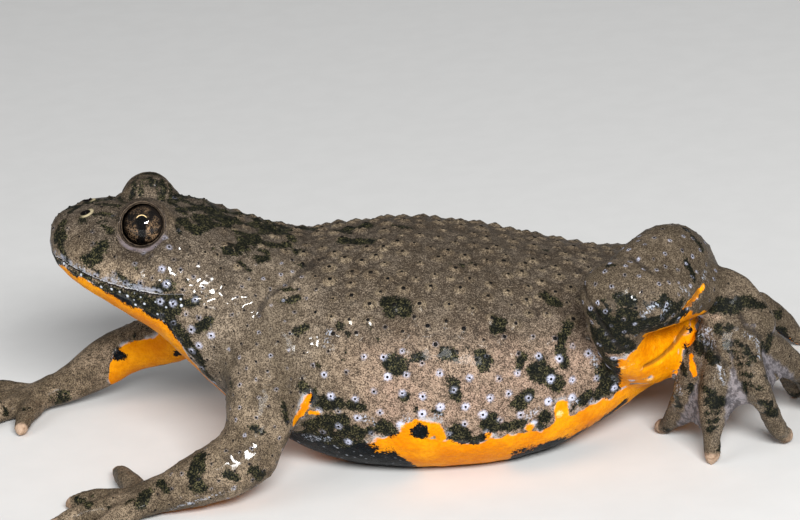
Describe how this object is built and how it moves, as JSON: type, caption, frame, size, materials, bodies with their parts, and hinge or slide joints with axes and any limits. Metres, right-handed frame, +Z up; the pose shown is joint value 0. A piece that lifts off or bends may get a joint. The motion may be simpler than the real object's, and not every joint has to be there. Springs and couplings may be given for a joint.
{
  "type": "yellow-bellied toad",
  "caption": "Life-size still model of a yellow-bellied toad, a kind of fire-bellied toad, resting on its belly with raised head and folded hind legs.",
  "frame": {"origin": "on the flat underside of the belly, at the level of the floor", "axes": "+Z up, -X towards the snout, -Y towards the animal's left side"},
  "size_m": [0.0672, 0.0351, 0.0211],
  "materials": {
    "skin": "moist, finely grained, satin",
    "eye": "wet gloss"
  },
  "bodies": {
    "root": {"head": "skin", "torso": "skin", "upper_arm_left": "skin", "upper_arm_right": "skin", "forearm_left": "skin", "forearm_right": "skin", "hand_left": "skin", "hand_right": "skin", "thigh_left": "skin", "thigh_right": "skin", "shank_left": "skin", "shank_right": "skin", "foot_left": "skin", "foot_right": "skin", "eye_left": "eye", "eye_right": "eye"}
  },
  "joints": []
}
